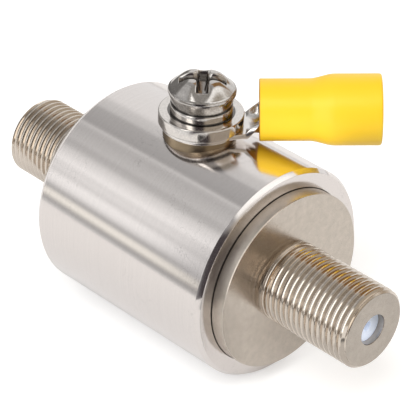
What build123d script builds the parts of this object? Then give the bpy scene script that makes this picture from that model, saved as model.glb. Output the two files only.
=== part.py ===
from build123d import *
from math import cos, radians, sin, sqrt
import os

# Coax lightning arrestor, in millimetres.
# +X runs along the coax axis, out of the front port, and +Z along the ground screw.
# The origin is on the coax axis, at the middle of the front port's thread.

# Housing
housing_radius = 12.7
housing_length = 26.4
housing_chamfer_radial = 0.38
housing_chamfer_axial = 0.57
cavity_radius = 7.0

# Port: a flange disc with a threaded barrel, one piece
flange_radius = 10.57
flange_proud = 1.7
flange_depth = 3.4
flange_edge = 0.12
flange_clearance = 0.03
collar_radius = 4.75
collar_length = 0.55
relief_radius = 4.3
relief_length = 0.2
thread_radius = 4.7625
thread_length = 11.2
thread_end_chamfer = 0.4
socket_radius = 1.81
socket_edge = 0.12
lip_length = 3.5

# Insulator and contact inside a port
insulator_radius = 3.0
insulator_clearance = 0.03
insulator_recess = 0.85
insulator_face = 0.85
wire_hole_radius = 0.55
wire_hole_flare = 0.08
contact_radius = 1.2
contact_bore_radius = 0.52
contact_clearance = 0.05
contact_slot_width = 0.24
contact_slot_length = 6.5
contact_slot_pairs = 1

# Centre conductor and its beads
rod_radius = 2.0
rod_end_radius = 0.8
rod_end_insertion = 3.0
rod_end_clearance = 0.02
rod_flat_height = 1.8
rod_flat_length = 6.6
bead_thickness = 1.5
bead_clearance = 0.05

# Gas tube, its spring and its cap
tube_radius = 2.75
tube_length = 6.0
tube_electrode_length = 0.7
tube_ceramic_step = 0.12
tube_hole_clearance = 0.15
spring_height = 1.1
spring_thickness = 0.25
spring_outer_radius = 2.6
spring_inner_radius = 1.1
cap_radius = 4.2
cap_clearance = 0.02
cap_proud = 0.6
cap_edge = 0.2

# Ground screw, M4, and its washers
screw_radius = 1.95
screw_clearance = 0.05
screw_length = 6.0
screw_tip_chamfer = 0.4
tapped_depth = 3.4
head_base_radius = 3.32
head_rim_radius = 3.84
head_side_height = 1.5
head_rim_height = 1.9
head_rim_rounding = 0.25
head_height = 3.3
head_base_edge = 0.12
recess_span = 5.0
recess_width = 1.15
recess_corner = 0.9
recess_depth = 2.3
recess_taper = 9.0
recess_azimuth = 44.0
lock_radius = 3.53
lock_bore_radius = 2.1
lock_thickness = 1.05
lock_edge = 0.15
lock_gap = 0.5
lock_gap_azimuth = 150.0
lock_gap_slant = 20.0
washer_radius = 4.81
washer_thickness = 1.4
washer_edge = 0.18
stud_hole_radius = 2.15

# Ring terminal, one formed sheet
sheet = 0.6
ring_radius = 4.45
neck_half_width = 2.6
neck_end = 5.1
neck_fillet = 0.8
trough_reach = 6.4
trough_half_angle = 84.0
barrel_start = 8.6
barrel_length = 4.8
barrel_bore_radius = 2.0
barrel_seam = 0.35
terminal_azimuth = 44.7
terminal_tilt = 3.0

# Yellow sleeve on the terminal's barrel
sleeve_start = 6.4
sleeve_flare_start = 12.0
sleeve_flare_end = 14.7
sleeve_end = 20.0
sleeve_radius = 3.48
sleeve_wide_radius = 4.0
sleeve_wide_wall = 0.75
sleeve_clearance = 0.02
sleeve_edge = 0.2
swing_gap = 0.12

# Worked out: stations along the port, from the housing's end face outwards
collar_end = flange_proud + collar_length
thread_start = collar_end + relief_length
thread_finish = thread_start + thread_length
port_reach = thread_finish + thread_end_chamfer
lip_start = port_reach - lip_length
insulator_tip = port_reach - insulator_recess
contact_tip = insulator_tip - insulator_face

# Worked out: places in the frame
front_face_x = -(thread_start + thread_length / 2)
centre_x = front_face_x - housing_length / 2
rear_face_x = front_face_x - housing_length

# Worked out: heights of the stack on the coax axis
tube_top = rod_flat_height + tube_length
cap_seat = tube_top + spring_height
cap_top = housing_radius + cap_proud
ring_top = cap_top + sheet
washer_top = ring_top + washer_thickness
head_seat = washer_top + lock_thickness
barrel_outer_radius = barrel_bore_radius + sheet

# Worked out: the height of the barrel's axis over the screw, with the sleeve clear of the housing
sleeve_start_offset = sleeve_start * sin(radians(terminal_azimuth))
sleeve_start_rise = sleeve_start * sin(radians(terminal_tilt))
swing_reach = housing_radius + sleeve_radius + swing_gap
barrel_height = sqrt(swing_reach**2 - sleeve_start_offset**2) - sleeve_start_rise


def turned_about_x(points):
    """A solid of revolution about X from (x, radius) points."""
    return revolve(make_face(Polyline(*points, close=True)), Axis.X)


def turned_about_z(points):
    """A solid of revolution about Z from (radius, z) points."""
    return revolve(Plane.XZ * make_face(Polyline(*points, close=True)), Axis.Z)


def along_front(solid):
    """Moves a port's piece to the housing's front face."""
    return Pos(front_face_x, 0, 0) * solid


def along_rear(solid):
    """Moves a port's piece to the housing's rear face, turned about."""
    return Pos(rear_face_x, 0, 0) * Rot(0, 0, 180) * solid


def on_screw(solid):
    """Moves a piece that was made on the Z axis to the screw's axis."""
    return Pos(centre_x, 0, 0) * solid


def make_housing():
    half = housing_length / 2
    rim = housing_radius - housing_chamfer_radial
    shoulder = half - housing_chamfer_axial
    seat = half - flange_depth
    seat_radius = flange_radius + flange_clearance
    body = turned_about_x(
        [
            (-half, seat_radius),
            (-half, rim),
            (-shoulder, housing_radius),
            (shoulder, housing_radius),
            (half, rim),
            (half, seat_radius),
            (seat, seat_radius),
            (seat, cavity_radius),
            (-seat, cavity_radius),
            (-seat, seat_radius),
        ]
    )
    tube_hole_radius = tube_radius + tube_hole_clearance
    tube_hole = Cylinder(tube_hole_radius, housing_radius, align=(Align.CENTER, Align.CENTER, Align.MIN))
    cap_hole_radius = cap_radius + cap_clearance
    cap_hole = Cylinder(cap_hole_radius, housing_radius, align=(Align.CENTER, Align.CENTER, Align.MIN))
    body = body - tube_hole - Pos(0, 0, cap_seat) * cap_hole
    return Pos(centre_x, 0, 0) * body


def make_port():
    bore = insulator_radius
    return turned_about_x(
        [
            (-flange_depth, bore),
            (-flange_depth, flange_radius),
            (flange_proud - flange_edge, flange_radius),
            (flange_proud, flange_radius - flange_edge),
            (flange_proud, collar_radius),
            (collar_end, collar_radius),
            (collar_end, relief_radius),
            (thread_start, relief_radius),
            (thread_start, thread_radius),
            (thread_finish, thread_radius),
            (port_reach, thread_radius - thread_end_chamfer),
            (port_reach, socket_radius + socket_edge),
            (port_reach - socket_edge, socket_radius),
            (lip_start, socket_radius),
            (lip_start, bore),
        ]
    )


def make_insulator():
    body_radius = insulator_radius - insulator_clearance
    nose_radius = socket_radius - insulator_clearance
    shoulder = lip_start - insulator_clearance
    pocket = contact_radius + contact_clearance
    return turned_about_x(
        [
            (-flange_depth, pocket),
            (-flange_depth, body_radius),
            (shoulder, body_radius),
            (shoulder, nose_radius),
            (insulator_tip, nose_radius),
            (insulator_tip, wire_hole_radius + wire_hole_flare),
            (insulator_tip - wire_hole_flare, wire_hole_radius),
            (contact_tip, wire_hole_radius),
            (contact_tip, pocket),
        ]
    )


def make_contact():
    rear_bore = rod_end_radius + rod_end_clearance
    rear_bore_end = rod_end_insertion - flange_depth
    tube = turned_about_x(
        [
            (-flange_depth, rear_bore),
            (-flange_depth, contact_radius),
            (contact_tip, contact_radius),
            (contact_tip, contact_bore_radius),
            (rear_bore_end, contact_bore_radius),
            (rear_bore_end, rear_bore),
        ]
    )
    slot = Pos(contact_tip, 0, 0) * Box(
        2 * contact_slot_length, contact_slot_width, 2 * contact_radius + contact_slot_width
    )
    for turn in range(contact_slot_pairs):
        tube = tube - Rot(180 * turn / contact_slot_pairs, 0, 0) * slot
    return tube


def make_bead():
    rim = cavity_radius - bead_clearance
    hole = rod_end_radius + rod_end_clearance
    inner = -flange_depth - bead_thickness
    return turned_about_x([(inner, hole), (inner, rim), (-flange_depth, rim), (-flange_depth, hole)])


def make_centre_conductor():
    shoulder = housing_length / 2 - flange_depth - bead_thickness
    end = shoulder + bead_thickness + rod_end_insertion
    rod = turned_about_x(
        [
            (-end, 0),
            (-end, rod_end_radius),
            (-shoulder, rod_end_radius),
            (-shoulder, rod_radius),
            (shoulder, rod_radius),
            (shoulder, rod_end_radius),
            (end, rod_end_radius),
            (end, 0),
        ]
    )
    flat = Pos(0, 0, rod_flat_height) * Box(
        rod_flat_length, 2 * rod_radius, 2 * rod_radius, align=(Align.CENTER, Align.CENTER, Align.MIN)
    )
    return Pos(centre_x, 0, 0) * (rod - flat)


def make_gas_tube():
    waist = tube_radius - tube_ceramic_step
    lower = rod_flat_height + tube_electrode_length
    upper = tube_top - tube_electrode_length
    return on_screw(
        turned_about_z(
            [
                (0, rod_flat_height),
                (tube_radius, rod_flat_height),
                (tube_radius, lower),
                (waist, lower),
                (waist, upper),
                (tube_radius, upper),
                (tube_radius, tube_top),
                (0, tube_top),
            ]
        )
    )


def make_contact_spring():
    return on_screw(
        turned_about_z(
            [
                (spring_outer_radius, tube_top),
                (spring_outer_radius, tube_top + spring_thickness),
                (spring_inner_radius, cap_seat),
                (spring_inner_radius, cap_seat - spring_thickness),
            ]
        )
    )


def make_gas_tube_cap():
    tap_radius = screw_radius + screw_clearance
    tap_bottom = cap_top - tapped_depth
    return on_screw(
        turned_about_z(
            [
                (0, cap_seat),
                (cap_radius, cap_seat),
                (cap_radius, cap_top - cap_edge),
                (cap_radius - cap_edge, cap_top),
                (tap_radius, cap_top),
                (tap_radius, tap_bottom),
                (0, tap_bottom),
            ]
        )
    )


def cross_recess():
    """The cross-shaped hole in the screw's head, open upwards and narrower at its bottom."""
    arm = Rectangle(recess_span, recess_width)
    cross = arm + Rot(0, 0, 90) * arm
    corners = cross.vertices().sort_by_distance((0, 0, 0))
    cross = fillet(corners[:4], recess_corner)
    mouth = Pos(0, 0, head_seat + head_height) * Rot(0, 0, recess_azimuth) * cross
    return extrude(mouth, -recess_depth, taper=recess_taper)


def make_ground_screw():
    seat = head_seat
    tip = head_seat - screw_length
    side_top = seat + head_side_height
    rim_top = seat + head_rim_height
    rim_inner = head_rim_radius - head_rim_rounding
    crown = seat + head_height
    dome_radius = (rim_inner**2 + (crown - rim_top) ** 2) / (2 * (crown - rim_top))
    dome_mid = rim_inner / 2
    dome_mid_height = crown - dome_radius + sqrt(dome_radius**2 - dome_mid**2)
    rim_shoulder = head_rim_radius - head_rim_rounding / 4
    below = Polyline(
        (0, crown),
        (0, tip),
        (screw_radius - screw_tip_chamfer, tip),
        (screw_radius, tip + screw_tip_chamfer),
        (screw_radius, seat),
        (head_base_radius - head_base_edge, seat),
        (head_base_radius, seat + head_base_edge),
        (head_rim_radius, side_top),
        (rim_shoulder, rim_top - head_rim_rounding),
        (rim_inner, rim_top),
    )
    dome = ThreePointArc((rim_inner, rim_top), (dome_mid, dome_mid_height), (0, crown))
    blank = revolve(Plane.XZ * make_face(below + dome), Axis.Z)
    return on_screw(blank - cross_recess())


def make_lock_washer():
    ring = turned_about_z(
        [
            (lock_bore_radius, washer_top),
            (lock_radius - lock_edge, washer_top),
            (lock_radius, washer_top + lock_edge),
            (lock_radius, head_seat - lock_edge),
            (lock_radius - lock_edge, head_seat),
            (lock_bore_radius, head_seat),
        ]
    )
    gap = Box(2 * lock_radius, lock_gap, 3 * lock_thickness, align=(Align.MIN, Align.CENTER, Align.CENTER))
    gap = Rot(0, 0, lock_gap_azimuth) * Rot(lock_gap_slant, 0, 0) * gap
    return on_screw(ring - Pos(0, 0, (washer_top + head_seat) / 2) * gap)


def make_flat_washer():
    return on_screw(
        turned_about_z(
            [
                (stud_hole_radius, ring_top),
                (washer_radius - washer_edge, ring_top),
                (washer_radius, ring_top + washer_edge),
                (washer_radius, washer_top - washer_edge),
                (washer_radius - washer_edge, washer_top),
                (stud_hole_radius, washer_top),
            ]
        )
    )


def on_terminal(solid):
    """Turns a piece that was made along X to the terminal's direction, on the screw's axis."""
    return on_screw(Rot(0, 0, terminal_azimuth) * solid)


def on_barrel_axis(shape):
    """Lifts and tilts a shape that was made on the X axis to the barrel's axis."""
    return Pos(0, 0, barrel_height) * Rot(0, -terminal_tilt, 0) * shape


def make_trough():
    """The sheet between the flat neck and the barrel: one side is lofted, then mirrored."""
    outer = CenterArc((0, 0), barrel_outer_radius, -90, trough_half_angle)
    inner = CenterArc((0, 0), barrel_bore_radius, -90, trough_half_angle)
    band = make_face(outer + inner + Line(outer @ 0, inner @ 0) + Line(outer @ 1, inner @ 1))
    rolled = on_barrel_axis(Plane.YZ.offset(trough_reach) * band)
    half_neck = Rectangle(neck_half_width, sheet, align=(Align.MIN, Align.MIN))
    flat = Plane.YZ.offset(neck_end) * Pos(0, cap_top, 0) * half_neck
    side = loft([flat, rolled])
    return side + mirror(side, Plane.XZ)


def make_barrel():
    """The rolled barrel, with its seam on top and its mouth cut back on a slant to the trough."""
    end = barrel_start + barrel_length
    tube = turned_about_x(
        [
            (trough_reach, barrel_bore_radius),
            (trough_reach, barrel_outer_radius),
            (end, barrel_outer_radius),
            (end, barrel_bore_radius),
        ]
    )
    trough_edge = -barrel_bore_radius * cos(radians(trough_half_angle))
    slope_reach = barrel_start - trough_reach
    slope_rise = barrel_outer_radius - trough_edge
    over_mouth = Polyline(
        (trough_reach - slope_reach, trough_edge - slope_rise),
        (barrel_start + slope_reach, barrel_outer_radius + slope_rise),
        (trough_reach - slope_reach, barrel_outer_radius + slope_rise),
        close=True,
    )
    mouth = extrude(Plane.XZ * make_face(over_mouth), barrel_outer_radius, both=True)
    seam = Box(end, barrel_seam, barrel_outer_radius, align=(Align.MIN, Align.CENTER, Align.MIN))
    return on_barrel_axis(tube - mouth - Pos(trough_reach, 0, 0) * seam)


def make_ring_terminal():
    plate = Circle(ring_radius) + Pos(neck_end / 2, 0) * Rectangle(neck_end, 2 * neck_half_width)
    notches = plate.vertices().filter_by_position(Axis.X, 0, neck_end - sheet)
    plate = fillet(notches, neck_fillet) - Circle(stud_hole_radius)
    plate = Pos(0, 0, cap_top) * extrude(plate, sheet)
    return on_terminal(plate + make_trough() + make_barrel())


def make_terminal_sleeve():
    bore = barrel_outer_radius + sleeve_clearance
    bore_end = barrel_start + barrel_length
    wide_bore = sleeve_wide_radius - sleeve_wide_wall
    funnel_end = bore_end + (sleeve_flare_end - sleeve_flare_start)
    sleeve = turned_about_x(
        [
            (sleeve_start, bore),
            (sleeve_start, sleeve_radius - sleeve_edge),
            (sleeve_start + sleeve_edge, sleeve_radius),
            (sleeve_flare_start, sleeve_radius),
            (sleeve_flare_end, sleeve_wide_radius),
            (sleeve_end - sleeve_edge, sleeve_wide_radius),
            (sleeve_end, sleeve_wide_radius - sleeve_edge),
            (sleeve_end, wide_bore),
            (funnel_end, wide_bore),
            (bore_end, bore),
        ]
    )
    return on_terminal(on_barrel_axis(sleeve))


pieces = {
    "housing": make_housing(),
    "front_port": along_front(make_port()),
    "rear_port": along_rear(make_port()),
    "front_insulator": along_front(make_insulator()),
    "rear_insulator": along_rear(make_insulator()),
    "front_contact": along_front(make_contact()),
    "rear_contact": along_rear(make_contact()),
    "front_bead": along_front(make_bead()),
    "rear_bead": along_rear(make_bead()),
    "centre_conductor": make_centre_conductor(),
    "gas_tube": make_gas_tube(),
    "contact_spring": make_contact_spring(),
    "gas_tube_cap": make_gas_tube_cap(),
    "ground_screw": make_ground_screw(),
    "lock_washer": make_lock_washer(),
    "flat_washer": make_flat_washer(),
    "ring_terminal": make_ring_terminal(),
    "terminal_sleeve": make_terminal_sleeve(),
}

os.makedirs("parts", exist_ok=True)
for name, piece in pieces.items():
    export_step(piece, f"parts/{name}.step")
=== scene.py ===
import math
import bpy
import bmesh
import numpy as np
from functools import cached_property
from mathutils import Matrix, Vector


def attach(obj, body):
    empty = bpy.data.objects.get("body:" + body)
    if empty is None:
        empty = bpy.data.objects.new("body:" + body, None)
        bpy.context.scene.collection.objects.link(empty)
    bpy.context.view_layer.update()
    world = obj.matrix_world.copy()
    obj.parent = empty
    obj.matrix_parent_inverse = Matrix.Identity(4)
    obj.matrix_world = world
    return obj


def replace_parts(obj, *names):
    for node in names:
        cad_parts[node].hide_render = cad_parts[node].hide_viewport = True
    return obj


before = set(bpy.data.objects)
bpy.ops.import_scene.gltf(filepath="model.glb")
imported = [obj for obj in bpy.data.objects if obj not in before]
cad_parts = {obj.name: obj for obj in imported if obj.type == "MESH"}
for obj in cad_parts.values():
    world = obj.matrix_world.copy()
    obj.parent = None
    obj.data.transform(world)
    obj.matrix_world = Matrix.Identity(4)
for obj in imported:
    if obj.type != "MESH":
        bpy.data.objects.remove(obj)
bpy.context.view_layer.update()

MM = 0.001
FRAME_SIDE = 416

# Sizes of the CAD part, in millimetres, for the pieces that replace its nodes
HOUSING_R, HOUSING_LENGTH = 12.7, 26.4
CHAMFER_RADIAL, CHAMFER_AXIAL = 0.38, 0.57
CAVITY_R = 7.0
FLANGE_R, FLANGE_PROUD, FLANGE_DEPTH = 10.57, 1.7, 3.4
SEAT_R = FLANGE_R + 0.03
COLLAR_R, COLLAR_LENGTH = 4.75, 0.55
RELIEF_R, RELIEF_LENGTH = 4.3, 0.2
THREAD_R, THREAD_LENGTH, END_CHAMFER = 4.7625, 11.2, 0.4
SOCKET_R, LIP_LENGTH, BORE_R = 1.81, 3.5, 3.0
THREAD_START = FLANGE_PROUD + COLLAR_LENGTH + RELIEF_LENGTH
PORT_REACH = THREAD_START + THREAD_LENGTH + END_CHAMFER
LIP_START = PORT_REACH - LIP_LENGTH
HALF_HOUSING = HOUSING_LENGTH / 2
FRONT_X = -(THREAD_START + THREAD_LENGTH / 2)
CENTRE_X = FRONT_X - HALF_HOUSING
REAR_X = FRONT_X - HOUSING_LENGTH
CAP_R, CAP_SEAT, CAP_TOP = 4.2, 8.9, 13.3
CAP_HOLE_R, TUBE_HOLE_R = 4.22, 2.9
TAP_R, TAP_DEPTH = 2.0, 3.4
SHEET, RING_R, RING_HOLE_R = 0.6, 4.45, 2.15
RING_TOP = CAP_TOP + SHEET
WASHER_R, WASHER_HOLE_R, WASHER_TOP = 4.81, 2.15, RING_TOP + 1.4
LOCK_R, LOCK_HOLE_R, HEAD_SEAT = 3.53, 2.1, WASHER_TOP + 1.05
SCREW_R, SCREW_LENGTH, SCREW_PITCH = 1.95, 6.0, 0.7
SCREW_TIP = HEAD_SEAT - SCREW_LENGTH
TERMINAL_AZIMUTH, TERMINAL_TILT = math.radians(44.7), math.radians(3)
SLEEVE_R, SLEEVE_WIDE_R, SLEEVE_START = 3.48, 4.0, 6.4
SWING_REACH = HOUSING_R + SLEEVE_R + 0.12
BARREL_RISE = math.sqrt(SWING_REACH ** 2 - (SLEEVE_START * math.sin(TERMINAL_AZIMUTH)) ** 2)
BARREL_HEIGHT = BARREL_RISE - SLEEVE_START * math.sin(TERMINAL_TILT)

# The drawn thread of the ports: 32 turns to the inch, right-handed. It starts at the collar's edge
PITCH = 25.4 / 32
THREAD_DEPTH = 0.4
THREAD_PHASE = 0.33
COLLAR_EDGE = 2.14

# The drawn screw head: it swells from its base to its rim, and its top is a power curve
HEAD_BASE_R, HEAD_WIDE_R, HEAD_R = 3.32, 3.84, 3.59
HEAD_WIDE_TOP, HEAD_RIM_TOP, HEAD_CROWN = HEAD_SEAT + 1.5, HEAD_SEAT + 1.9, HEAD_SEAT + 3.3
DOME_POWER = 2.7

# The drawn terminal, by reach along its barrel: the sheet's start inside the ring, where its neck,
# trough and closing stretch end, and its end
SHEET_START, NECK_END, TROUGH_END, CLOSED_FROM, BARREL_END = 2.6, 5.1, 6.4, 8.6, 13.4
BARREL_MID_R = 2.3
NECK_REACHES = (SHEET_START, 3.0, 3.4, 3.9, 4.4, NECK_END)
NECK_HALF_WIDTHS = (3.36, 3.2, 3.0, 2.83, 2.69, 2.6)
TROUGH_ANGLE, CLOSED_ANGLE = math.radians(84), math.radians(175.6)

# The drawn sleeve, by reach along the barrel
FLARE_START, FLARE_LENGTH = 11.9, 2.9
SLEEVE_BORE_R, SLEEVE_WIDE_WALL = 2.62, 0.75
WIRE_STOP, SLEEVE_END = 16.1, 19.97


# Shapes

def clamp(x):
    """x, held between 0 and 1."""
    return min(1.0, max(0.0, x))


def ease(x):
    """A smooth step from 0 to 1."""
    x = clamp(x)
    return x * x * (3 - 2 * x)


def spread(start, end, count):
    """Evenly spaced values from start up to end, without end."""
    return [start + (end - start) * i / count for i in range(count)]


def new_object(name, verts, faces, body=None, material=None, slot=None):
    """A mesh piece in millimetres. With a body it rides on that CAD body."""
    mesh = bpy.data.meshes.new(name)
    mesh.from_pydata([tuple(c * MM for c in v) for v in verts], [], faces)
    mesh.update()
    obj = bpy.data.objects.new(name, mesh)
    bpy.context.scene.collection.objects.link(obj)
    bm = bmesh.new()
    bm.from_mesh(mesh)
    bmesh.ops.remove_doubles(bm, verts=bm.verts, dist=1e-8)
    bmesh.ops.recalc_face_normals(bm, faces=bm.faces)
    bm.to_mesh(mesh)
    bm.free()
    if body:
        mesh.materials.append(material)
        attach(obj, body)
    return obj


def shade(obj, angle):
    """Smooth shading, with edges sharper than the angle, in degrees, kept sharp."""
    for polygon in obj.data.polygons:
        polygon.use_smooth = True
    obj.data.set_sharp_from_angle(angle=math.radians(angle))
    obj.data.update()


def rounded(points, steps=3, closed=True):
    """Rounds the corners of a polyline of (a, r) points, each by its third value, if it has one."""
    straight, edge_share = math.radians(178), 0.45
    out = []
    n = len(points)
    for i, p in enumerate(points):
        cut = p[2] if len(p) > 2 else 0
        if cut <= 0 or (not closed and i in (0, n - 1)):
            out.append(tuple(p[:2]))
            continue
        a, b, c = Vector(points[i - 1][:2]), Vector(p[:2]), Vector(points[(i + 1) % n][:2])
        u, v = a - b, c - b
        angle = u.angle(v)
        if angle > straight:
            out.append(tuple(b))
            continue
        reach = min(cut / math.tan(angle / 2), u.length * edge_share, v.length * edge_share)
        p0, p1 = b + u.normalized() * reach, b + v.normalized() * reach
        for s in range(steps + 1):
            w = s / steps
            out.append(tuple(p0 * (1 - w) ** 2 + b * 2 * w * (1 - w) + p1 * w ** 2))
    return out


def rings(rows, place):
    """Verts and faces of a closed profile turned about an axis. rows[i] holds the (a, r) points at turn i."""
    verts, faces = [], []
    count, n = len(rows), len(rows[0])
    for i, row in enumerate(rows):
        t = 2 * math.pi * i / count
        verts += [place(a, r, t) for a, r in row]
    for i in range(count):
        j = (i + 1) % count
        for k in range(n):
            m = (k + 1) % n
            faces.append((i * n + k, j * n + k, j * n + m, i * n + m))
    return verts, faces


def about_x(x0, sign=1):
    """Places (station, radius) about the coax axis, with the stations counted from x0 outwards."""
    return lambda a, r, t: (x0 + sign * a, sign * r * math.cos(t), r * math.sin(t))


def about_z(a, r, t):
    """Places (height, radius) about the ground screw's axis."""
    return (CENTRE_X + r * math.cos(t), r * math.sin(t), a)


def on_terminal(reach, across, height):
    """A point from the terminal's flat axes (away from the screw, across, up) into the frame."""
    c, s = math.cos(TERMINAL_AZIMUTH), math.sin(TERMINAL_AZIMUTH)
    return (CENTRE_X + reach * c - across * s, reach * s + across * c, height)


def on_barrel(u, across, up):
    """A point from the barrel's own axes (along, across, up) into the frame."""
    reach = u * math.cos(TERMINAL_TILT) - up * math.sin(TERMINAL_TILT)
    height = BARREL_HEIGHT + u * math.sin(TERMINAL_TILT) + up * math.cos(TERMINAL_TILT)
    return on_terminal(reach, across, height)


def about_barrel(a, r, t):
    """Places (station, radius) about the terminal's barrel."""
    return on_barrel(a, r * math.cos(t), r * math.sin(t))


def barrel_axis():
    """The barrel's direction, away from the screw."""
    return Vector(on_barrel(1, 0, 0)) - Vector(on_barrel(0, 0, 0))


def cut(obj, others, operation="DIFFERENCE"):
    """Cuts other meshes out of an object, or joins them to it, and takes them away."""
    for other in others:
        step = obj.modifiers.new("cut", "BOOLEAN")
        step.operation = operation
        step.object = other
        step.solver = "EXACT"
    bpy.context.view_layer.update()
    done = obj.evaluated_get(bpy.context.evaluated_depsgraph_get())
    mesh = bpy.data.meshes.new_from_object(done)
    obj.modifiers.clear()
    obj.data = mesh
    for other in others:
        bpy.data.objects.remove(other)


def exact_normals(obj, profile, origin, axis, crease=35):
    """Gives the faces of a turned piece the normals of its true profile, also where a cut crosses them."""
    shade(obj, crease)
    mesh = obj.data
    count = len(mesh.loops)
    corner = np.empty(count * 3)
    mesh.corner_normals.foreach_get("vector", corner)
    corner = corner.reshape(-1, 3)
    index = np.empty(count, int)
    mesh.loops.foreach_get("vertex_index", index)
    point = np.empty(len(mesh.vertices) * 3)
    mesh.vertices.foreach_get("co", point)
    point = point.reshape(-1, 3)[index] / MM - np.array(origin)
    flat = np.empty((count, 3))
    for polygon in mesh.polygons:
        flat[polygon.loop_start:polygon.loop_start + polygon.loop_total] = polygon.normal

    # Each corner's place and its face's direction, as (along the axis, away from it)
    tiny = 1e-9
    axis = np.array(axis, float)
    along = point @ axis
    radial = point - along[:, None] * axis
    radius = np.linalg.norm(radial, axis=1)
    radial /= np.maximum(radius, tiny)[:, None]
    spot = np.stack([along, radius], 1)
    facing = np.stack([flat @ axis, (flat * radial).sum(1)], 1)

    # Each profile edge's own normal, and its normals at both ends, shared across soft corners
    p0 = np.array(profile)
    d = np.roll(p0, -1, 0) - p0
    length = np.maximum(np.linalg.norm(d, axis=1), tiny)
    own = np.stack([d[:, 1], -d[:, 0]], 1) / length[:, None]
    limit = math.cos(math.radians(crease))

    def shared(other):
        soft = ((own * other).sum(1) > limit)[:, None]
        both = np.where(soft, own + other, own)
        return both / np.linalg.norm(both, axis=1)[:, None]

    start, end = shared(np.roll(own, 1, 0)), shared(np.roll(own, -1, 0))

    # The nearest edge that a corner lies on gives it its normal
    farthest, least_facing, facing_cost = 0.01, 0.9, 0.02
    best = np.full(count, farthest)
    new = corner.copy()
    for k in range(len(p0)):
        w = np.clip(((spot - p0[k]) @ d[k]) / length[k] ** 2, 0, 1)
        side = facing @ own[k]
        off = np.linalg.norm(spot - p0[k] - w[:, None] * d[k], axis=1) + facing_cost * (1 - np.abs(side))
        hit = (off < best) & (np.abs(side) > least_facing)
        n2 = (start[k] * (1 - w)[:, None] + end[k] * w[:, None]) * np.sign(side)[:, None]
        n3 = n2[:, :1] * axis + n2[:, 1:] * radial
        n3 /= np.maximum(np.linalg.norm(n3, axis=1), tiny)[:, None]
        new[hit] = n3[hit]
        best[hit] = off[hit]
    mesh.normals_split_custom_set([tuple(v) for v in new])
    mesh.update()


def turned(name, profile, count, place, origin, axis, body, material, slot, cutters=()):
    """A turned piece with exact normals, with other meshes cut out of it."""
    obj = new_object(name, *rings([profile] * count, place), body, material, slot)
    if cutters:
        cut(obj, list(cutters))
        if not obj.data.materials:
            obj.data.materials.append(material)
    exact_normals(obj, profile, origin, axis)
    return obj


def pillar(radius, low, high, count=96):
    """A plain cylinder on the ground screw's axis, to cut with."""
    verts = [about_z(h, radius, 2 * math.pi * i / count) for h in (low, high) for i in range(count)]
    faces = [tuple(range(count))[::-1], tuple(range(count, 2 * count))]
    faces += [(i, (i + 1) % count, count + (i + 1) % count, count + i) for i in range(count)]
    return new_object("cutter", verts, faces)


def dome_height(r):
    """Height of the screw head's dome at a distance from its axis, as a number or a signal."""
    return HEAD_CROWN - (HEAD_CROWN - HEAD_RIM_TOP) * (r / HEAD_R) ** DOME_POWER


# Arithmetic inside node trees

class Signal:
    """A node's output that can be reckoned with as a number can."""

    def __init__(self, tree, socket):
        self.tree = tree
        self.socket = socket

    def __add__(self, other):
        return math_node("ADD", self, other)

    def __sub__(self, other):
        return math_node("SUBTRACT", self, other)

    def __rsub__(self, other):
        return math_node("SUBTRACT", other, self)

    def __mul__(self, other):
        return math_node("MULTIPLY", self, other)

    def __rmul__(self, other):
        return math_node("MULTIPLY", other, self)

    def __truediv__(self, other):
        return math_node("DIVIDE", self, other)

    def __pow__(self, other):
        return math_node("POWER", self, other)

    def __abs__(self):
        return math_node("ABSOLUTE", self)

    def __lt__(self, other):
        return math_node("LESS_THAN", self, other)

    def __gt__(self, other):
        return math_node("GREATER_THAN", self, other)

    def step(self, low, high):
        """A smooth step: 0 up to low, 1 from high on."""
        n = node(self.tree, "ShaderNodeMapRange", interpolation_type="SMOOTHSTEP")
        feed(n.inputs["Value"], self)
        feed(n.inputs["From Min"], low)
        feed(n.inputs["From Max"], high)
        return Signal(self.tree, n.outputs["Result"])


def node(tree, kind, **values):
    """A new node, with its settings by name."""
    n = tree.nodes.new(kind)
    for key, value in values.items():
        setattr(n, key, value)
    return n


def feed(socket, value):
    """Gives a socket a signal, a number or a colour."""
    if isinstance(value, Signal):
        value.tree.links.new(value.socket, socket)
    elif socket.type == "RGBA":
        socket.default_value = (*value, 1)
    else:
        socket.default_value = value


def math_node(operation, *values):
    """A math node's result from its values, at least one of them a signal."""
    tree = next(v.tree for v in values if isinstance(v, Signal))
    n = node(tree, "ShaderNodeMath", operation=operation)
    for socket, value in zip(n.inputs, values):
        feed(socket, value)
    return Signal(tree, n.outputs[0])


def larger(a, b):
    return math_node("MAXIMUM", a, b)


def distance(a, b):
    """Length of the line whose two parts are a and b."""
    return math_node("SQRT", a * a + b * b)


def split(vector):
    """The three parts of a vector signal."""
    n = node(vector.tree, "ShaderNodeSeparateXYZ")
    feed(n.inputs[0], vector)
    return [Signal(vector.tree, n.outputs[axis]) for axis in "XYZ"]


def joined(*parts):
    """A vector signal of up to three parts."""
    n = node(parts[0].tree, "ShaderNodeCombineXYZ")
    for socket, part in zip(n.inputs, parts):
        feed(socket, part)
    return Signal(parts[0].tree, n.outputs[0])


def scaled(tree, vector, factor):
    """A vector or a colour times a number, each a signal or a value."""
    n = node(tree, "ShaderNodeVectorMath", operation="SCALE")
    feed(n.inputs[0], vector)
    feed(n.inputs["Scale"], factor)
    return Signal(tree, n.outputs[0])


def dot(parts, numbers):
    """How far a vector, given as three signals, reaches along another, given as three numbers."""
    a, b, c = (part * number for part, number in zip(parts, numbers))
    return a + b + c


def noise(vector, scale, detail=2.0, roughness=0.5):
    """Noise around 0.5. The scale is its grains to the millimetre."""
    n = node(vector.tree, "ShaderNodeTexNoise")
    for name, value in (("Vector", vector), ("Scale", scale), ("Detail", detail), ("Roughness", roughness)):
        feed(n.inputs[name], value)
    return Signal(vector.tree, n.outputs["Fac"])


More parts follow.
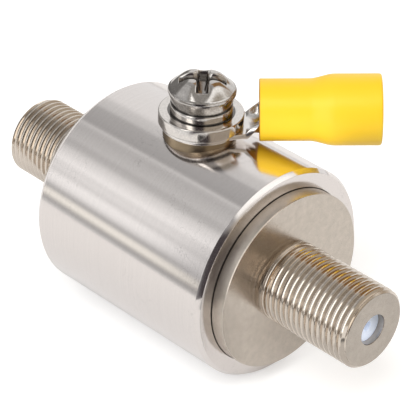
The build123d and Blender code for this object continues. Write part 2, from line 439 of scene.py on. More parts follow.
def blend(weight, a, b):
    """Colour a where the weight is 0 and b where it is 1, each a signal or a value."""
    n = node(weight.tree, "ShaderNodeMix", data_type="RGBA")
    feed(n.inputs["Factor"], weight)
    for name, colour in (("A", a), ("B", b)):
        feed(next(s for s in n.inputs if s.name == name and s.type == "RGBA"), colour)
    return Signal(weight.tree, next(s for s in n.outputs if s.type == "RGBA"))


def darker(tone, weight, share):
    """Takes a share of the tone away where the weight is 1."""
    return tone * (1 - weight * share)


class Spot:
    """The shaded point in millimetres, with its distances from the part's two axes."""

    def __init__(self, tree):
        place = Signal(tree, node(tree, "ShaderNodeTexCoord").outputs["Object"])
        self.point = scaled(tree, place, 1 / MM)
        self.x, self.y, self.z = split(self.point)

    @cached_property
    def station(self):
        """Distance from the housing's middle along the coax axis."""
        return abs(self.x - CENTRE_X)

    @cached_property
    def coax_r(self):
        return distance(self.y, self.z)

    @cached_property
    def screw_r(self):
        return distance(self.x - CENTRE_X, self.y)


# Materials

def linear(*colour):
    """sRGB 0 to 1 into linear."""
    return tuple(c / 12.92 if c <= 0.04045 else ((c + 0.055) / 1.055) ** 2.4 for c in colour)


def material(name, colour, metallic, roughness, **more):
    """A Principled material. More of its inputs are given by name, with _ for a space."""
    m = bpy.data.materials.new(name)
    m.use_nodes = True
    values = {"Base_Color": colour, "Metallic": metallic, "Roughness": roughness, **more}
    for key, value in values.items():
        feed(shader(m).inputs[key.replace("_", " ")], value)
    return m


def shader(m):
    """The Principled node of a material."""
    return m.node_tree.nodes["Principled BSDF"]


def turned_metal(name, tint, roughness, contrast, mottle, bump, about="X", marks=None):
    """Metal with a lathe's fine rings about an axis and a faint mottle.

    marks takes the spot, the tone and the roughness, and returns the last two with the piece's own marks.
    """
    lines_per_mm, spots_per_mm, lift_distance, spots_share = 3.4, 4.5, 0.02 * MM, 0.6
    m = material(name, tint, 1.0, roughness)
    tree = m.node_tree
    spot = Spot(tree)
    across = joined(spot.x) if about == "X" else joined(spot.screw_r, spot.z)
    lines = noise(across, lines_per_mm, 3.0, 0.7)
    spots = noise(spot.point, spots_per_mm, 3.0, 0.7)
    tone = (lines - 0.5) * contrast + (spots - 0.5) * mottle + 1.0
    if marks:
        tone, roughness = marks(spot, tone, roughness)
    feed(shader(m).inputs["Base Color"], scaled(tree, tint, tone))
    feed(shader(m).inputs["Roughness"], roughness)
    lift = node(tree, "ShaderNodeBump")
    feed(lift.inputs["Strength"], bump)
    feed(lift.inputs["Distance"], lift_distance)
    feed(lift.inputs["Height"], lines + spots * spots_share)
    feed(shader(m).inputs["Normal"], Signal(tree, lift.outputs[0]))
    return m


def painted_shade_round_disc(spot, tone, reach):
    """Painted shade in the seam between a port's disc and the housing, out to a station."""
    near = 1 - abs(spot.coax_r - (FLANGE_R + 0.02)).step(0.04, 0.1)
    return darker(tone, near * (spot.station < reach), 0.78)


def body_marks(spot, tone, roughness):
    """Fine scratches in a few patches, and painted shade in the seams round the discs."""
    path = noise(spot.point, 0.42, 4.0, 0.6)
    scratch = 1 - abs(path - 0.5).step(0.0, 0.011)
    patches = noise(spot.point, 0.13).step(0.5, 0.62)
    tone = darker(tone, scratch * patches, 0.14)
    return painted_shade_round_disc(spot, tone, HALF_HOUSING + 0.02), roughness


def port_marks(spot, tone, roughness):
    """Satin, clouded flats, painted shade in the socket and in the seam round the disc, and a painted
    highlight on a stretch of the disc's edge.
    """
    disc_face, edge_width = HALF_HOUSING + FLANGE_PROUD, 0.12
    disc = spot.station < disc_face + 0.08
    end = spot.station > HALF_HOUSING + PORT_REACH - 0.03
    tone = painted_shade_round_disc(spot, tone, HALF_HOUSING + 0.1)
    cloud = noise(spot.point, 1.1, 4.0, 0.65) - 0.5
    tone = tone + cloud * 0.4 * larger(disc, end)
    tone = darker(darker(tone, disc, 0.18), end, 0.35)
    # Painted shade inside the socket
    tone = darker(tone, spot.coax_r < SOCKET_R + 0.03, 0.35)
    # A painted highlight on the disc's edge, on its upper front side
    edge = spot.station.step(disc_face - edge_width, disc_face - edge_width / 2) * disc
    lit_stretch = (0 - spot.y).step(1.0, 4.0) * spot.z.step(0.0, 4.0)
    tone = tone + edge * (spot.coax_r > FLANGE_R - edge_width) * lit_stretch * 0.5
    rim = spot.coax_r > FLANGE_R - 0.02
    return tone, larger(disc, end) * 0.08 + rim * 0.14 + roughness


def screw_marks(spot, tone, roughness):
    """Painted shade in the seams of the screw's stack and in the recess, and a grained, darker side of the
    head.
    """
    recess_reach, side_from, side_full = 3.0, 3.3, 3.4
    # Each seam's height, and the least and most distance from the axis that it spans
    seams = ((RING_TOP, 4.0, 5.2), (WASHER_TOP, 2.0, 3.8), (HEAD_SEAT, 2.0, 3.9))
    # Painted shade along each seam between the stacked pieces
    for height, least, most in seams:
        line = 1 - abs(spot.z - height).step(0.02, 0.1)
        inside = abs(spot.screw_r - (least + most) / 2) < (most - least) / 2
        tone = darker(tone, line * inside, 0.75)
    # Painted shade deep in the cross recess
    depth = (dome_height(spot.screw_r) - spot.z).step(0.2, 0.7)
    tone = darker(tone, depth * (spot.screw_r < recess_reach), 0.5)
    crown = spot.z.step(HEAD_RIM_TOP - 0.05, HEAD_RIM_TOP + 0.25)
    tone = darker(tone, crown, 0.22)
    side = (spot.z > HEAD_SEAT + 0.12) * spot.screw_r.step(side_from, side_full) * (1 - crown)
    grain = noise(spot.point, 6.5).step(0.35, 0.65) * 0.5 + 0.5
    return darker(tone, side * grain, 0.42), roughness


def make_body_metal():
    """The housing's metal: its streaks run along the body."""
    m = turned_metal("body_metal", linear(0.89, 0.867, 0.855), roughness=0.12, contrast=0.16, mottle=0.12,
                     bump=0.1, marks=body_marks)
    feed(shader(m).inputs["Anisotropic"], 0.85)
    feed(shader(m).inputs["Anisotropic Rotation"], 0.25)
    tangent = node(m.node_tree, "ShaderNodeTangent", direction_type="RADIAL", axis="X")
    feed(shader(m).inputs["Tangent"], Signal(m.node_tree, tangent.outputs[0]))
    return m


def make_insulator_plastic():
    """Pale plastic with painted light: it glows a little, most on its low side towards the camera."""
    least, most, half_width = 0.08, 0.5, 1.8
    # The plain strength counts only where the link that takes its place isn't read
    m = material("insulator_plastic", linear(0.83, 0.87, 0.93), 0.0, 0.45,
                 Emission_Color=(0.75, 0.82, 1.0), Emission_Strength=0.12)
    spot = Spot(m.node_tree)
    low_side = (0 - (spot.y + spot.z)).step(-half_width, half_width)
    # Painted light: a glow that is strongest on the low side towards the camera
    feed(shader(m).inputs["Emission Strength"], low_side * (most - least) + least)
    return m


def make_sleeve_plastic():
    """Yellow plastic, with painted shade at the very mouth that the barrel goes into."""
    yellow, mouth_shade = (0.93, 0.595, 0.02), (0.5, 0.2, 0.01)
    m = material("sleeve_plastic", yellow, 0.0, 0.38)
    spot, axis = Spot(m.node_tree), barrel_axis()
    mouth = Vector(on_barrel(SLEEVE_START, 0, 0)).dot(axis)
    # Painted shade at the mouth, blended into the yellow beyond it
    beyond = dot((spot.x, spot.y, spot.z), axis).step(mouth + 0.02, mouth + 0.16)
    feed(shader(m).inputs["Base Color"], blend(beyond, mouth_shade, yellow))
    return m


body_metal = make_body_metal()
port_metal = turned_metal("port_metal", linear(0.85, 0.81, 0.765), roughness=0.12, contrast=0.06,
                          mottle=0.2, bump=0.06, marks=port_marks)
cap_metal = turned_metal("cap_metal", linear(0.66, 0.59, 0.49), roughness=0.28, contrast=0.05,
                         mottle=0.06, bump=0.06, about="Z")
screw_metal = turned_metal("screw_metal", linear(0.87, 0.85, 0.83), roughness=0.12, contrast=0.0,
                           mottle=0.6, bump=0.25, about="Z", marks=screw_marks)
terminal_metal = turned_metal("terminal_metal", linear(0.92, 0.905, 0.89), roughness=0.2, contrast=0.0,
                              mottle=0.06, bump=0.05, about="Z")
contact_metal = material("contact_metal", linear(0.9, 0.78, 0.5), metallic=1.0, roughness=0.25)
tube_ceramic = material("tube_ceramic", linear(0.9, 0.88, 0.84), metallic=0.0, roughness=0.4)
insulator_plastic = make_insulator_plastic()
sleeve_plastic = make_sleeve_plastic()

NODE_MATERIAL = {
    "housing": body_metal, "front_port": port_metal, "rear_port": port_metal,
    "front_insulator": insulator_plastic, "rear_insulator": insulator_plastic,
    "front_contact": contact_metal, "rear_contact": contact_metal,
    "front_bead": insulator_plastic, "rear_bead": insulator_plastic,
    "centre_conductor": contact_metal, "gas_tube": tube_ceramic,
    "contact_spring": contact_metal, "gas_tube_cap": cap_metal,
    "ground_screw": screw_metal, "lock_washer": screw_metal, "flat_washer": screw_metal,
    "ring_terminal": terminal_metal, "terminal_sleeve": sleeve_plastic,
}
for name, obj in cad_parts.items():
    obj.data.materials.clear()
    obj.data.materials.append(NODE_MATERIAL[name])


# Housing

def make_housing():
    """The round body, with a seat for each port's disc and the holes for the cap and the gas tube."""
    shoulder, seat = HALF_HOUSING - CHAMFER_AXIAL, HALF_HOUSING - FLANGE_DEPTH
    front = [
        (shoulder, HOUSING_R, 0.05), (HALF_HOUSING, HOUSING_R - CHAMFER_RADIAL, 0.04),
        (HALF_HOUSING, SEAT_R, 0.03), (seat, SEAT_R, 0), (seat, CAVITY_R, 0),
    ]
    rear = [(-station, radius, edge) for station, radius, edge in reversed(front)]
    clear_above = 20
    cutters = [pillar(CAP_HOLE_R, CAP_SEAT, clear_above), pillar(TUBE_HOLE_R, 0, CAP_SEAT + 1)]
    return turned("turned_housing", rounded(rear + front), 256, about_x(CENTRE_X), (CENTRE_X, 0, 0),
                  (1, 0, 0), "housing", body_metal, "body_metal", cutters)


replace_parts(make_housing(), "housing")


# Ports, each with its helical thread

# One turn of the thread from crest to crest: (station, height over the root)
THREAD_TURN = rounded([
    (0.0, THREAD_DEPTH), (0.04 * PITCH, THREAD_DEPTH - 0.006), (0.2 * PITCH, THREAD_DEPTH - 0.05),
    (0.24 * PITCH, THREAD_DEPTH - 0.09), (0.466 * PITCH, 0.0, 0.03), (0.509 * PITCH, 0.0, 0.03),
    (0.8 * PITCH, THREAD_DEPTH, 0.05), (PITCH, THREAD_DEPTH),
], 4, closed=False)[:-1]


def thread_radius(station, height):
    """Radius of the thread at a station, with its run-out at the collar and its chamfer at the end."""
    run_out_slope, root_rise = 1.4, 0.02
    crest = THREAD_R - THREAD_DEPTH + height
    if station <= COLLAR_EDGE or station >= PORT_REACH:
        crest = THREAD_R
    start = RELIEF_R + root_rise + (station - COLLAR_EDGE) * run_out_slope
    end = THREAD_R - END_CHAMFER + (PORT_REACH - station)
    return min(crest, start, end)


def make_port(name, x0, sign):
    """A flange disc and a barrel in one. The stations of the outside thread follow its helix."""
    count, per_turn = 192, len(THREAD_TURN)
    turns = int((PORT_REACH - COLLAR_EDGE) / PITCH) + 4
    head = rounded([
        (-FLANGE_DEPTH, BORE_R, 0), (-FLANGE_DEPTH, FLANGE_R, 0.05),
        (FLANGE_PROUD, FLANGE_R, 0.12), (FLANGE_PROUD, COLLAR_R, 0.03),
        (COLLAR_EDGE, COLLAR_R, 0.15), (COLLAR_EDGE, RELIEF_R, 0),
    ], 4, closed=False)
    tail = rounded([
        (PORT_REACH, THREAD_R - END_CHAMFER, 0), (PORT_REACH, SOCKET_R, 0.12),
        (LIP_START, SOCKET_R, 0), (LIP_START, BORE_R, 0), (-FLANGE_DEPTH, BORE_R, 0),
    ], 4, closed=False)[1:-1]
    rows = []
    for i in range(count):
        thread = []
        for turn in range(turns):
            for station, height in THREAD_TURN:
                x = THREAD_PHASE + PITCH * (turn + i / count) + station
                x = min(max(x, COLLAR_EDGE), PORT_REACH)
                thread.append((x, thread_radius(x, height)))
        rows.append(head + thread + tail)

    # Where the last row meets the first, the thread has gone on by one turn
    n, before = len(rows[0]), len(head)
    last = before + turns * per_turn - 1

    def next_turn(k):
        return min(k + per_turn, last) if before <= k <= last else k

    verts, faces = rings(rows, about_x(x0, sign))
    closing = (count - 1) * n
    for k in range(n):
        m = (k + 1) % n
        faces[closing + k] = (closing + k, next_turn(k), next_turn(m), closing + m)
    obj = new_object(name, verts, faces, "housing", port_metal, "port_metal")
    shade(obj, 28)
    return obj


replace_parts(make_port("front_threaded_port", FRONT_X, 1), "front_port")
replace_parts(make_port("rear_threaded_port", REAR_X, -1), "rear_port")


# Cap, washers and ground screw

def stacked(name, profile, count, body, material, slot, cutters=()):
    """A piece turned about the ground screw's axis."""
    return turned(name, profile, count, about_z, (CENTRE_X, 0, 0), (0, 0, 1), body, material, slot, cutters)


def make_cap():
    """The plug that holds the gas tube, with its tapped hole."""
    tap_bottom = CAP_TOP - TAP_DEPTH
    profile = rounded([
        (CAP_SEAT, 0.0, 0), (CAP_SEAT, CAP_R, 0), (CAP_TOP, CAP_R, 0.2), (CAP_TOP, TAP_R, 0.1),
        (tap_bottom, TAP_R, 0), (tap_bottom, 0.0, 0),
    ])
    return stacked("turned_cap", profile, 128, "housing", cap_metal, "cap_metal")


def make_flat_washer():
    """The thick plain washer."""
    profile = rounded([
        (RING_TOP, WASHER_HOLE_R, 0.1), (RING_TOP, WASHER_R, 0.12),
        (WASHER_TOP, WASHER_R, 0.14), (WASHER_TOP, WASHER_HOLE_R, 0.1),
    ], 5)
    return stacked("turned_flat_washer", profile, 160, "washers", screw_metal, "screw_metal")


def make_lock_washer():
    """A spring washer, pressed flat, with its slanting gap."""
    profile = rounded([
        (WASHER_TOP, LOCK_HOLE_R, 0.1), (WASHER_TOP, LOCK_R, 0.15),
        (HEAD_SEAT, LOCK_R, 0.2), (HEAD_SEAT, LOCK_HOLE_R, 0.1),
    ], 5)
    azimuth, slant, half_gap = math.radians(150), math.radians(20), 0.25
    reach, rise, middle = 7, 1.6, (WASHER_TOP + HEAD_SEAT) / 2
    verts = []
    for h in (-rise, rise):
        for out, side in ((0, -1), (reach, -1), (reach, 1), (0, 1)):
            across = side * half_gap / math.cos(slant) - h * math.tan(slant)
            verts.append((CENTRE_X + out * math.cos(azimuth) - across * math.sin(azimuth),
                          out * math.sin(azimuth) + across * math.cos(azimuth), middle + h))
    faces = [(3, 2, 1, 0), (4, 5, 6, 7), (0, 1, 5, 4), (1, 2, 6, 5), (2, 3, 7, 6), (3, 0, 4, 7)]
    gap = new_object("cutter", verts, faces)
    return stacked("split_lock_washer", profile, 160, "washers", screw_metal, "screw_metal", [gap])


def cross_distance(x, y):
    """Distance to the cross recess's outline, below zero inside it, with rounded inner corners."""
    half_long, half_wide, corner = 2.5, 0.575, 0.55

    def bar(u, v):
        a, b = abs(u) - half_long, abs(v) - half_wide
        return math.hypot(max(a, 0), max(b, 0)) + min(max(a, b), 0)

    d1, d2 = bar(x, y), bar(y, x)
    h = max(corner - abs(d1 - d2), 0) / corner
    return min(d1, d2) - h * h * corner / 4


def head_top(r, t):
    """Height of the screw's head: a dome with four soft lobes and the cross recess punched between them."""
    recess_turn, recess_margin = math.radians(44), 0.2
    lobe_height, lobe_start, lobe_rise = 0.2, 0.9, 1.2
    valley_depth, valley_start, valley_rise, rim_fall = 0.22, 1.8, 0.6, 1.3
    lip, slope, floor_depth, floor_slope = 0.34, 5.5, 2.3, 0.25
    dome = dome_height(r)
    turn = t - recess_turn
    near_rim = (HEAD_R - r) / rim_fall
    lobe = math.sin(2 * turn) ** 2 * ease((r - lobe_start) / lobe_rise) * ease(near_rim)
    valley = math.cos(2 * turn) ** 8 * clamp((r - valley_start) / valley_rise) * clamp(near_rim)
    inside = max(0.0, recess_margin - cross_distance(r * math.cos(turn), r * math.sin(turn)))
    drop = slope * inside ** 2 / (2 * lip) if inside < lip else slope * (inside - lip / 2)
    floor = HEAD_CROWN - floor_depth + floor_slope * r
    return max(dome + lobe_height * lobe - valley_depth * valley - drop, min(floor, dome))


def make_screw():
    """An M4 pan-head screw, with its thread on the shank."""
    count, shank_steps, head_steps = 360, 72, 96
    end_gap, thread_depth, tip_r = 0.05, 0.3, SCREW_R - 0.4
    side = rounded([
        (HEAD_SEAT, SCREW_R, 0), (HEAD_SEAT, HEAD_BASE_R, 0.12), (HEAD_WIDE_TOP, HEAD_WIDE_R, 0.5),
        (HEAD_RIM_TOP - 0.1, HEAD_WIDE_R - 0.04, 0.06), (HEAD_RIM_TOP, HEAD_R, 0),
    ], 6, closed=False)
    rows = []
    for i in range(count):
        t = 2 * math.pi * i / count
        row = [(SCREW_TIP, 0.0), (SCREW_TIP, tip_r)]
        for k in range(shank_steps + 1):
            z = SCREW_TIP + end_gap + (SCREW_LENGTH - 2 * end_gap) * k / shank_steps
            wave = abs(((z / SCREW_PITCH - i / count) % 1.0) - 0.5) * 2
            row.append((z, min(SCREW_R - thread_depth + thread_depth * wave, tip_r + z - SCREW_TIP)))
        row += side
        for k in range(1, head_steps + 1):
            r = HEAD_R * (1 - k / head_steps)
            row.append((head_top(r, t), r))
        rows.append(row)
    obj = new_object("pan_head_screw", *rings(rows, about_z), "ground_screw", screw_metal, "screw_metal")
    shade(obj, 50)
    return obj


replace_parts(make_cap(), "gas_tube_cap")
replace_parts(make_flat_washer(), "flat_washer")
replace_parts(make_lock_washer(), "lock_washer")
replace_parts(make_screw(), "ground_screw")


# Ring terminal and its sleeve

def neck_half_width(reach):
    """The flat neck's half width: it flares into the ring."""
    return float(np.interp(reach, NECK_REACHES, NECK_HALF_WIDTHS))


def sheet_point(u, w):
    """Middle of the formed sheet, at reach u and at w from -1 to 1 across."""
    flat_height, early_bend = CAP_TOP + SHEET / 2, 0.5
    if u <= NECK_END:
        return on_terminal(u, w * neck_half_width(u), flat_height)
    if u <= TROUGH_END:
        g = (u - NECK_END) / (TROUGH_END - NECK_END)
        g = g * (1 + g * (1 - g) * early_bend)
        flat = Vector(on_terminal(NECK_END, w * neck_half_width(NECK_END), flat_height))
        return tuple(flat.lerp(Vector(rolled_point(TROUGH_END, w * TROUGH_ANGLE)), g))
    g = min(1.0, (u - TROUGH_END) / (CLOSED_FROM - TROUGH_END))
    return rolled_point(u, w * (TROUGH_ANGLE + (CLOSED_ANGLE - TROUGH_ANGLE) * g))


def rolled_point(u, angle):
    """A point on the barrel's middle surface, at an angle from its lowest line."""
    return on_barrel(u, BARREL_MID_R * math.sin(angle), -BARREL_MID_R * math.cos(angle))


def sheet_edge(middle, normal, outwards):
    """The edge of the sheet from its underside to its top, just broken."""
    half, broken, corner = SHEET / 2, 0.1, 0.03
    under = [
        middle - normal * half - outwards * broken, middle - normal * (half - corner) - outwards * corner,
        middle - normal * (half - broken),
    ]
    over = [
        middle + normal * (half - broken), middle + normal * (half - corner) - outwards * corner,
        middle + normal * half - outwards * broken,
    ]
    return under + over


def make_formed_sheet():
    """The neck, trough and rolled barrel as one closed sheet, to join to the ring."""
    stations = spread(SHEET_START, NECK_END, 12) + spread(NECK_END, TROUGH_END, 14)
    stations += spread(TROUGH_END, CLOSED_FROM, 12) + spread(CLOSED_FROM, BARREL_END, 4) + [BARREL_END]
    across = spread(-1, 1, 36) + [1]
    mid = np.array([[sheet_point(u, w) for w in across] for u in stations])
    du, dw = np.gradient(mid, axis=0), np.gradient(mid, axis=1)
    normal = np.cross(du, dw)
    normal /= np.linalg.norm(normal, axis=2)[:, :, None]
    side = dw / np.linalg.norm(dw, axis=2)[:, :, None]
    top, low = mid + normal * SHEET / 2, mid - normal * SHEET / 2
    verts, faces = [], []
    for i in range(len(stations)):
        left = sheet_edge(mid[i][0], normal[i][0], -side[i][0])
        right = sheet_edge(mid[i][-1], normal[i][-1], side[i][-1])
        row = left + list(top[i][1:-1]) + right[::-1] + list(low[i][1:-1][::-1])
        verts += [tuple(v) for v in row]
    n = len(row)
    for start in range(0, len(verts) - n, n):
        for k in range(n):
            m = (k + 1) % n
            faces.append((start + k, start + m, start + n + m, start + n + k))
    faces.append(tuple(range(n))[::-1])
    faces.append(tuple(range(len(verts) - n, len(verts))))
    return new_object("formed_neck", verts, faces)


def make_ring_terminal():
    """One sheet: a ring, a flaring neck, a trough and a rolled barrel."""
    profile = rounded([
        (CAP_TOP, RING_HOLE_R, 0.1), (CAP_TOP, RING_R, 0.1),
        (RING_TOP, RING_R, 0.1), (RING_TOP, RING_HOLE_R, 0.1),
    ])
    formed = make_formed_sheet()
    ring = new_object("formed_terminal", *rings([profile] * 144, about_z),
                      "terminal", terminal_metal, "terminal_metal")
    cut(ring, [formed], "UNION")
    if not ring.data.materials:
        ring.data.materials.append(terminal_metal)
    shade(ring, 35)
    return ring


def make_sleeve():
    """The insulating sleeve, drawn over the barrel, with a soft flare towards the wire's end."""
    wide_bore_r = SLEEVE_WIDE_R - SLEEVE_WIDE_WALL
    start = rounded([
        (BARREL_END, SLEEVE_BORE_R, 0), (SLEEVE_START, SLEEVE_BORE_R, 0.08),
        (SLEEVE_START, SLEEVE_R, 0.16), (FLARE_START, SLEEVE_R, 0),
    ], 5, closed=False)
    flare = [(FLARE_START + FLARE_LENGTH * i / 16, SLEEVE_R + (SLEEVE_WIDE_R - SLEEVE_R) * ease(i / 16))
             for i in range(17)]
    end = rounded([
        (FLARE_START + FLARE_LENGTH, SLEEVE_WIDE_R, 0), (SLEEVE_END, SLEEVE_WIDE_R, 0.34),
        (SLEEVE_END, wide_bore_r, 0.2), (WIRE_STOP, wide_bore_r, 0),
    ], 5, closed=False)
    profile = start[:-1] + flare + end[1:]
    obj = new_object("moulded_sleeve", *rings([profile] * 160, about_barrel),
                     "terminal", sleeve_plastic, "sleeve_plastic")
    exact_normals(obj, profile, on_barrel(0, 0, 0), tuple(barrel_axis()))
    return obj


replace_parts(make_ring_terminal(), "ring_terminal")
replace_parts(make_sleeve(), "terminal_sleeve")


# Floor and cards

FLOOR_FRONT_Y, FLOOR_REACH = -52.0, 1500.0


def stage_sheet(name, verts, faces, m):
    """A flat sheet of the studio."""
    obj = new_object(name, verts, faces)
    obj.data.materials.append(m)
    return obj


def for_metals_only(obj):
    """Lets nothing but reflections see a sheet."""
    obj.visible_camera = False
    obj.visible_diffuse = False
    obj.visible_shadow = False


def make_floor():
    """A pale floor that ends in front of the object, so that the studio's front edge shows in the metal."""
    albedo, seen_glow, camera_glow = 0.7, 0.19, 0.27
    m = material("floor_white", (albedo,) * 3, 0.0, 0.9, Specular_IOR_Level=0.0)
    tree = m.node_tree
    path = node(tree, "ShaderNodeLightPath")
    camera, glossy, through = (Signal(tree, path.outputs[f"Is {ray} Ray"])
                               for ray in ("Camera", "Glossy", "Transmission"))
    glow = node(tree, "ShaderNodeEmission")
    feed(glow.inputs["Strength"], larger(larger(camera, glossy), through) * seen_glow + camera * camera_glow)
    both = node(tree, "ShaderNodeAddShader")
    tree.links.new(shader(m).outputs[0], both.inputs[0])
    tree.links.new(glow.outputs[0], both.inputs[1])
    tree.links.new(both.outputs[0], tree.nodes["Material Output"].inputs["Surface"])
    corners = ((-1, FLOOR_FRONT_Y), (1, FLOOR_FRONT_Y), (1, FLOOR_REACH), (-1, FLOOR_REACH))
    stage_sheet("floor", [(side * FLOOR_REACH, y, -HOUSING_R) for side, y in corners], [(0, 1, 2, 3)], m)


def make_card(name, middle, size, brightness, edge):
    """A flat oval card just over the floor that only the metals see. It fades out over its edge share."""
    (x, y), (w, d), lift = middle, size, 0.3
    m = material(name, (brightness,) * 3, 0.0, 0.9, Specular_IOR_Level=0.0)
    spot = Spot(m.node_tree)
    away = distance((spot.x - x) / (w / 2), (spot.y - y) / (d / 2))
    feed(shader(m).inputs["Alpha"], 1 - away.step(1 - edge, 1.0))
    corners = ((-1, -1), (1, -1), (1, 1), (-1, 1))
    verts = [(x + i * w / 2, y + j * d / 2, lift - HOUSING_R) for i, j in corners]
    for_metals_only(stage_sheet(name, verts, [(0, 1, 2, 3)], m))


def make_wedge(name, reach, turn, brightness):
    """A part of a ring about the screw's axis, just over the floor, that only the metals see."""
    sectors, lift = 16, 0.2
    m = material(name, (brightness,) * 3, 0.0, 0.9, Specular_IOR_Level=0.0)
    angles = [math.radians(turn[0] + (turn[1] - turn[0]) * k / sectors) for k in range(sectors + 1)]
    verts = [about_z(lift - HOUSING_R, r, t) for t in angles for r in reach]
    faces = [(2 * k, 2 * k + 1, 2 * k + 3, 2 * k + 2) for k in range(sectors)]
    for_metals_only(stage_sheet(name, verts, faces, m))


# Studio and lamps

# Brightness of the studio by its angle about the coax axis, in degrees: 0 is the horizon behind the
# object, 90 straight up, 180 the horizon in front
STUDIO = [
    (0, 0.94), (58, 0.92), (64, 0.73), (74.5, 0.69), (76.5, 0.51), (92, 0.47), (97, 0.44), (99.5, 0.5),
    (101.5, 0.78), (103.5, 0.62), (108, 0.57), (122, 0.66), (127, 0.57), (131, 0.62), (136, 0.84),
    (148, 1.12), (153, 0.95), (158, 0.98), (162, 0.87), (168, 1.16), (174, 1.08), (178, 0.84),
    (180.5, 0.56), (183, 0.56), (186, 1.08), (190, 1.16), (192.5, 0.78), (195, 0.48), (197.5, 0.48),
    (202, 0.9), (240, 0.95), (359, 0.94),
]
WARM_FROM, WARM_TO, WARMTH = 183, 194, 0.04

# Colours of the studio's other parts. OVERHEAD is the direction of the middle of its dim patch
LOW_WARM, SOFTBOX = (0.5, 0.43, 0.35), (1.4, 1.4, 1.38)
GREY_WALL, BROWN_WALL = (0.42, 0.42, 0.43), (0.5, 0.45, 0.38)
DIM_OVERHEAD, WARM_BEHIND, DIM_FAR_END = (0.39, 0.375, 0.355), (0.36, 0.21, 0.09), (0.24, 0.235, 0.23)
OVERHEAD = (-0.15, -0.35, 0.92)

# Upright strips in the room round the camera, in the order that they are laid: the azimuth of the
# middle, the half widths where the strip is full and where it has faded, all in degrees, the soft lower
# and upper edge as heights from -1 to 1, and the colour
STRIPS = [
    (-112, 8, 12, (-0.2, 0.0), (0.6, 0.8), (0.56, 0.56, 0.57)),
    (-98, 18, 25, (-0.4, -0.34), (-0.08, -0.02), (0.4, 0.38, 0.36)),
    (-87, 8, 12, (-0.1, 0.0), (0.84, 0.92), (2.1, 2.1, 2.08)),
    (-50, 12, 22, (-1.2, -1.1), (0.6, 0.76), (0.06, 0.05, 0.055)),
]


def bands_about_coax(tree, y, z):
    """The studio's soft bands, as a ramp over the angle about the coax axis."""
    ramp = node(tree, "ShaderNodeValToRGB")
    ramp.color_ramp.interpolation = "LINEAR"
    turn = math_node("FRACT", math_node("ARCTAN2", z, y) / (2 * math.pi) + 1.0)
    feed(ramp.inputs[0], turn)
    stops = ramp.color_ramp.elements
    stops.remove(stops[1])
    for i, (degrees, value) in enumerate(STUDIO):
        stop = stops[0] if i == 0 else stops.new(degrees / 360)
        stop.position = degrees / 360
        warmth = WARMTH if WARM_FROM < degrees < WARM_TO else 0.0
        stop.color = (value, value * (1 - warmth / 2), value * (1 - 2 * warmth), 1)
    return Signal(tree, ramp.outputs[0])


def strip(direction, middle, full, none, bottom, top):
    """1 in an upright strip of the sky and 0 outside it."""
    x, y, z = direction
    off = abs(math_node("ARCTAN2", y, x) - math.radians(middle))
    inside = 1 - off.step(math.radians(full), math.radians(none))
    return inside * z.step(*bottom) * (1 - z.step(*top))


def studio_light(tree):
    """What the metals see: bands along the coax axis, a lit and a shaded part before the front port, a
    dim patch overhead, a warm one behind, the strips round the camera and a dim far end."""
    direction = split(Signal(tree, node(tree, "ShaderNodeTexCoord").outputs["Generated"]))
    x, y, z = direction
    before_port = blend(z.step(0.3, 0.7), LOW_WARM, SOFTBOX)
    before_port = blend(y.step(-0.38, -0.24), GREY_WALL, before_port)
    before_port = blend(x.step(0.48, 0.64), before_port, BROWN_WALL)
    light = blend(x.step(0.05, 0.35), bands_about_coax(tree, y, z), before_port)
    overhead = dot(direction, OVERHEAD).step(0.8, 0.9) * x.step(-0.3, -0.12)
    light = blend(overhead, light, DIM_OVERHEAD)
    behind = x.step(-0.42, -0.3) * (1 - x.step(0.05, 0.2)) * y.step(0.2, 0.34) * z.step(0.2, 0.35)
    light = blend(behind, light, WARM_BEHIND)
    for *shape, colour in STRIPS:
        light = blend(strip(direction, *shape), light, colour)
    return blend(1 - x.step(-0.84, -0.72), light, DIM_FAR_END)


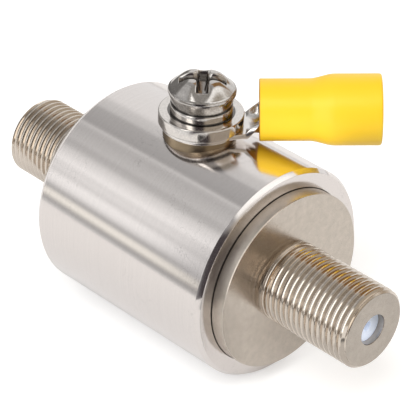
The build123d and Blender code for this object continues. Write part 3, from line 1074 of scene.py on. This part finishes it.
def make_world():
    """White to the camera, and the studio to everything else."""
    world = bpy.data.worlds.new("studio")
    bpy.context.scene.world = world
    world.use_nodes = True
    tree = world.node_tree
    studio = tree.nodes["Background"]
    feed(studio.inputs["Color"], studio_light(tree))
    white = node(tree, "ShaderNodeBackground")
    feed(white.inputs["Color"], (1, 1, 1))
    path = node(tree, "ShaderNodeLightPath")
    mix = node(tree, "ShaderNodeMixShader")
    tree.links.new(path.outputs["Is Camera Ray"], mix.inputs[0])
    tree.links.new(studio.outputs[0], mix.inputs[1])
    tree.links.new(white.outputs[0], mix.inputs[2])
    tree.links.new(mix.outputs[0], tree.nodes["World Output"].inputs["Surface"])


def area(name, place, target, size, power):
    """A soft lamp that the metals don't mirror. Its places and its size are in millimetres."""
    lamp = bpy.data.lights.new(name, "AREA")
    lamp.size = size * MM
    lamp.energy = power
    obj = bpy.data.objects.new(name, lamp)
    obj.location = Vector(place) * MM
    obj.rotation_euler = (Vector(target) - Vector(place)).to_track_quat("-Z", "Y").to_euler()
    obj.visible_glossy = False
    obj.visible_camera = False
    bpy.context.scene.collection.objects.link(obj)


make_floor()
make_world()
area("key", (150, -350, 500), (-20, 0, 0), 350, 2.3)
area("fill", (200, -450, 60), (-10, 0, 10), 300, 0.5)
area("bounce", (-10.5, 4, 12.7), (-13.5, 7.8, 15.5), 10, 0.0002)
area("back", (-120, 300, 60), (-10, 10, 15), 250, 0.4)
# Sheets that only the metals see: a near-black wedge, a painted dark patch in their reflections of the floor
# in front of the screw, and a grey card, the painted shadow of the floor round the object in their
# reflections
make_wedge("dark_wedge", (42, 60), (-52, -12), 0.03)
make_card("painted_floor_shade", (15, -9), (40, 32), 0.56, 0.5)


# Camera

def make_camera():
    """The camera that was fitted to the photograph: place in millimetres, angles, focal length in pixels."""
    place = Vector((138.856 + FRONT_X, -156.734, 140.899)) * MM
    yaw, pitch, roll, focal = 2.33521, -0.56488, 0.05012, 2268.4
    ahead = Vector((math.cos(pitch) * math.cos(yaw), math.cos(pitch) * math.sin(yaw), math.sin(pitch)))
    level_right = ahead.cross(Vector((0, 0, 1))).normalized()
    level_up = level_right.cross(ahead)
    right = level_right * math.cos(roll) + level_up * math.sin(roll)
    up = level_up * math.cos(roll) - level_right * math.sin(roll)
    data = bpy.data.cameras.new("camera")
    data.sensor_width = 36
    data.lens = focal * data.sensor_width / FRAME_SIDE
    data.clip_start, data.clip_end = 0.01, 10
    cam = bpy.data.objects.new("camera", data)
    cam.matrix_world = Matrix.Translation(place) @ Matrix((right, up, -ahead)).transposed().to_4x4()
    bpy.context.scene.collection.objects.link(cam)
    bpy.context.scene.camera = cam


make_camera()
bpy.context.scene.view_settings.view_transform = "Standard"
